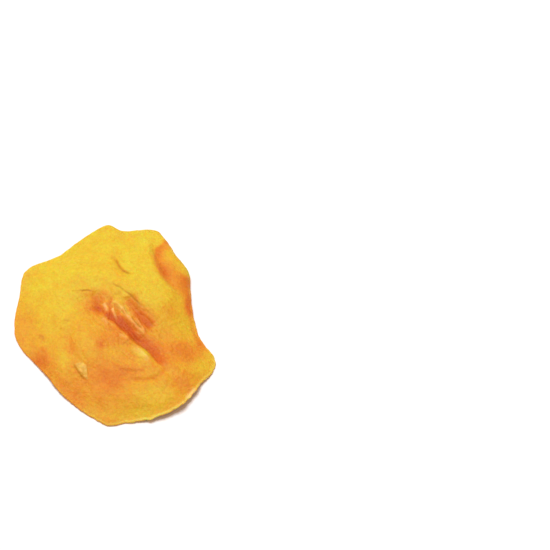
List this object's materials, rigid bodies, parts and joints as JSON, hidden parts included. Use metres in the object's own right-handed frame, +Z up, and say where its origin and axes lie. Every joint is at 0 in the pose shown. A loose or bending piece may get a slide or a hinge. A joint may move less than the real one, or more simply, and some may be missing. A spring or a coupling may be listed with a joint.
{
  "type": "dried mango slice",
  "caption": "Leathery dried fruit slice, low and domed, with a wrinkled sunken middle, a rolled shoulder and a thin curled rim that it rests on.",
  "frame": {"origin": "bottom centre of the slice's box, on the surface it lies on", "axes": "+Z up through the domed face, +Y along the slice's longest side towards its far tip, +X across it"},
  "size_m": [0.0892, 0.102, 0.0104],
  "materials": {
    "dried_mango": "leathery dried fruit flesh, soft satin, golden yellow turning orange, with orange-red folds"
  },
  "bodies": {
    "root": {"mango_slice": "dried_mango"}
  },
  "joints": []
}
